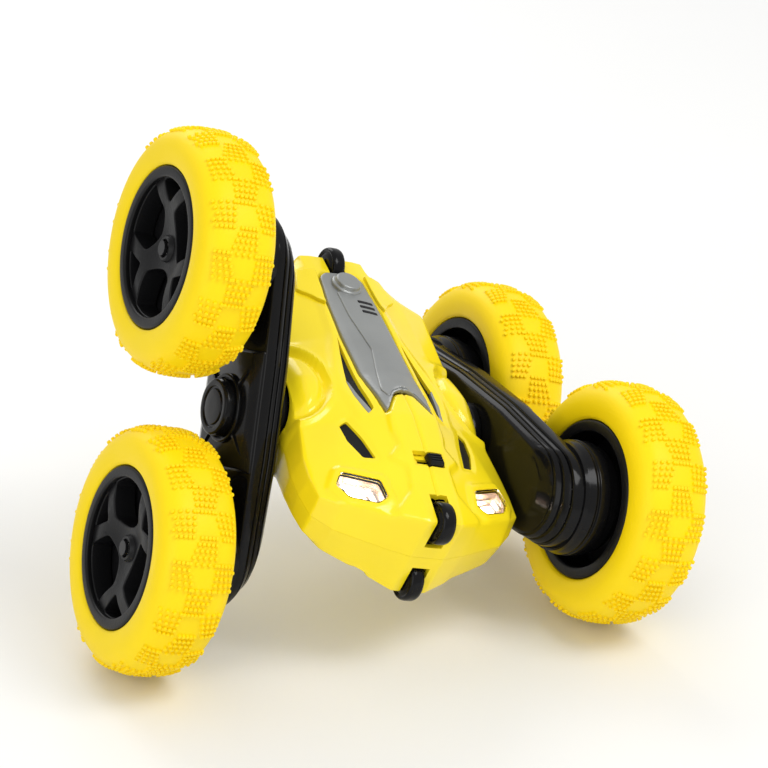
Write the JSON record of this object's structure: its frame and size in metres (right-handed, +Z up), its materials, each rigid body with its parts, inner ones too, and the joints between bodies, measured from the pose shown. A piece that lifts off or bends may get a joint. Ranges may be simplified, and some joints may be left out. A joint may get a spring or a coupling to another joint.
{
  "type": "rc stunt car",
  "caption": "Radio-controlled stunt car: wheeled arms swing right round a double-sided body with guard rollers at nose and tail, lit headlights and a power switch.",
  "frame": {"origin": "centre of the footprint of the standing car, on the floor", "axes": "+X across the car to its right, -Y towards the nose, +Z up; the car stands rolled on three wheels with the left arm swung up"},
  "size_m": [0.175, 0.1586, 0.1496],
  "materials": {
    "yellow_shell": "glossy moulded plastic",
    "yellow_tyre": "matt soft rubber",
    "black_gloss": "glossy moulded plastic",
    "black_satin": "satin moulded plastic",
    "grey_satin": "satin silver-grey plastic",
    "clear_lens": "clear moulded lens",
    "steel": "plated steel",
    "white_nylon": "natural nylon",
    "battery_wrap": "shrink film",
    "circuit_board": "green solder mask",
    "led": "white led and board"
  },
  "bodies": {
    "body": {"battery_door": "yellow_shell", "battery_door_screw": "steel", "battery_pack": "battery_wrap", "bottom_left_headlight_lens": "clear_lens", "bottom_right_headlight_lens": "clear_lens", "bottom_shell": "yellow_shell", "circuit_board": "circuit_board", "left_led_board": "led", "left_vent_liner": "black_satin", "mid_frame": "black_satin", "right_led_board": "led", "right_vent_liner": "black_satin", "shell_screw_1": "steel", "shell_screw_2": "steel", "shell_screw_3": "steel", "shell_screw_4": "steel", "switch_housing": "black_satin", "top_left_headlight_lens": "clear_lens", "top_right_headlight_lens": "clear_lens", "top_shell": "yellow_shell", "top_spine_panel": "grey_satin"},
    "left_arm": {"left_arm_inner_case": "black_gloss", "left_arm_outer_case": "black_gloss", "left_motor_cap": "black_gloss", "left_motor": "steel", "left_pivot_retainer": "steel", "left_case_screw": "steel"},
    "left_front_wheel": {"left_front_tyre": "yellow_tyre", "left_front_rim": "black_satin", "left_front_axle_gear": "white_nylon", "left_front_wheel_screw": "steel"},
    "left_rear_wheel": {"left_rear_tyre": "yellow_tyre", "left_rear_rim": "black_satin", "left_rear_axle_gear": "white_nylon", "left_rear_wheel_screw": "steel"},
    "left_front_compound_gear": {"left_front_compound_gear": "white_nylon"},
    "left_rear_compound_gear": {"left_rear_compound_gear": "white_nylon"},
    "left_motor_pinion": {"left_motor_pinion": "white_nylon"},
    "right_arm": {"right_arm_inner_case": "black_gloss", "right_arm_outer_case": "black_gloss", "right_motor_cap": "black_gloss", "right_motor": "steel", "right_pivot_retainer": "steel", "right_case_screw": "steel"},
    "right_front_wheel": {"right_front_tyre": "yellow_tyre", "right_front_rim": "black_satin", "right_front_axle_gear": "white_nylon", "right_front_wheel_screw": "steel"},
    "right_rear_wheel": {"right_rear_tyre": "yellow_tyre", "right_rear_rim": "black_satin", "right_rear_axle_gear": "white_nylon", "right_rear_wheel_screw": "steel"},
    "right_front_compound_gear": {"right_front_compound_gear": "white_nylon"},
    "right_rear_compound_gear": {"right_rear_compound_gear": "white_nylon"},
    "right_motor_pinion": {"right_motor_pinion": "white_nylon"},
    "nose_top_roller": {"nose_top_roller": "black_gloss"},
    "nose_bottom_roller": {"nose_bottom_roller": "black_gloss"},
    "tail_top_roller": {"tail_top_roller": "black_gloss"},
    "tail_bottom_roller": {"tail_bottom_roller": "black_gloss"},
    "power_switch": {"power_switch_slider": "black_satin"}
  },
  "joints": [
    {"name": "left_arm_swing", "type": "hinge", "parent": "body", "child": "left_arm", "pos_m": [0.00622, 0, 0.05539], "axis": [0.9524, 0, -0.3047], "continuous": true},
    {"name": "left_front_wheel_spin", "type": "hinge", "parent": "left_arm", "child": "left_front_wheel", "pos_m": [-0.00625, -0.01322, 0.01642], "axis": [0.9524, 0, -0.3047], "continuous": true},
    {"name": "left_rear_wheel_spin", "type": "hinge", "parent": "left_arm", "child": "left_rear_wheel", "pos_m": [0.01869, 0.01322, 0.09436], "axis": [0.9524, 0, -0.3047], "continuous": true},
    {"name": "left_front_compound_gear_spin", "type": "hinge", "parent": "left_arm", "child": "left_front_compound_gear", "pos_m": [0.00096, -0.00558, 0.03894], "axis": [0.9524, 0, -0.3047], "continuous": true},
    {"name": "left_rear_compound_gear_spin", "type": "hinge", "parent": "left_arm", "child": "left_rear_compound_gear", "pos_m": [0.01148, 0.00558, 0.07184], "axis": [0.9524, 0, -0.3047], "continuous": true},
    {"name": "left_motor_pinion_spin", "type": "hinge", "parent": "left_arm", "child": "left_motor_pinion", "pos_m": [0.00622, 0, 0.05539], "axis": [0.9524, 0, -0.3047], "continuous": true},
    {"name": "right_arm_swing", "type": "hinge", "parent": "body", "child": "right_arm", "pos_m": [0.00622, 0, 0.05539], "axis": [0.9524, 0, -0.3047], "continuous": true},
    {"name": "right_front_wheel_spin", "type": "hinge", "parent": "right_arm", "child": "right_front_wheel", "pos_m": [0.00622, -0.043, 0.05539], "axis": [0.9524, 0, -0.3047], "continuous": true},
    {"name": "right_rear_wheel_spin", "type": "hinge", "parent": "right_arm", "child": "right_rear_wheel", "pos_m": [0.00622, 0.043, 0.05539], "axis": [0.9524, 0, -0.3047], "continuous": true},
    {"name": "right_front_compound_gear_spin", "type": "hinge", "parent": "right_arm", "child": "right_front_compound_gear", "pos_m": [0.00622, -0.01815, 0.05539], "axis": [0.9524, 0, -0.3047], "continuous": true},
    {"name": "right_rear_compound_gear_spin", "type": "hinge", "parent": "right_arm", "child": "right_rear_compound_gear", "pos_m": [0.00622, 0.01815, 0.05539], "axis": [0.9524, 0, -0.3047], "continuous": true},
    {"name": "right_motor_pinion_spin", "type": "hinge", "parent": "right_arm", "child": "right_motor_pinion", "pos_m": [0.00622, 0, 0.05539], "axis": [0.9524, 0, -0.3047], "continuous": true},
    {"name": "nose_top_roller_spin", "type": "hinge", "parent": "body", "child": "nose_top_roller", "pos_m": [0.00395, -0.0554, 0.0483], "axis": [0.9524, 0, -0.3047], "continuous": true},
    {"name": "nose_bottom_roller_spin", "type": "hinge", "parent": "body", "child": "nose_bottom_roller", "pos_m": [-0.00239, -0.04823, 0.02849], "axis": [0.9524, 0, -0.3047], "continuous": true},
    {"name": "tail_top_roller_spin", "type": "hinge", "parent": "body", "child": "tail_top_roller", "pos_m": [0.01644, 0.04546, 0.08732], "axis": [0.9524, 0, -0.3047], "continuous": true},
    {"name": "tail_bottom_roller_spin", "type": "hinge", "parent": "body", "child": "tail_bottom_roller", "pos_m": [0.0067, 0.05647, 0.05688], "axis": [0.9524, 0, -0.3047], "continuous": true},
    {"name": "power_switch_slide", "type": "slide", "parent": "body", "child": "power_switch", "axis": [-0.9524, 0, 0.3047], "range_m": [0, 0.0042]}
  ],
  "couplings": [
    {"joint": "left_rear_wheel_spin", "follows": "left_front_wheel_spin", "ratio": 1},
    {"joint": "left_front_compound_gear_spin", "follows": "left_front_wheel_spin", "ratio": -0.83333},
    {"joint": "left_rear_compound_gear_spin", "follows": "left_front_wheel_spin", "ratio": -0.83333},
    {"joint": "left_motor_pinion_spin", "follows": "left_front_wheel_spin", "ratio": 2.5},
    {"joint": "right_rear_wheel_spin", "follows": "right_front_wheel_spin", "ratio": 1},
    {"joint": "right_front_compound_gear_spin", "follows": "right_front_wheel_spin", "ratio": -0.83333},
    {"joint": "right_rear_compound_gear_spin", "follows": "right_front_wheel_spin", "ratio": -0.83333},
    {"joint": "right_motor_pinion_spin", "follows": "right_front_wheel_spin", "ratio": 2.5}
  ]
}
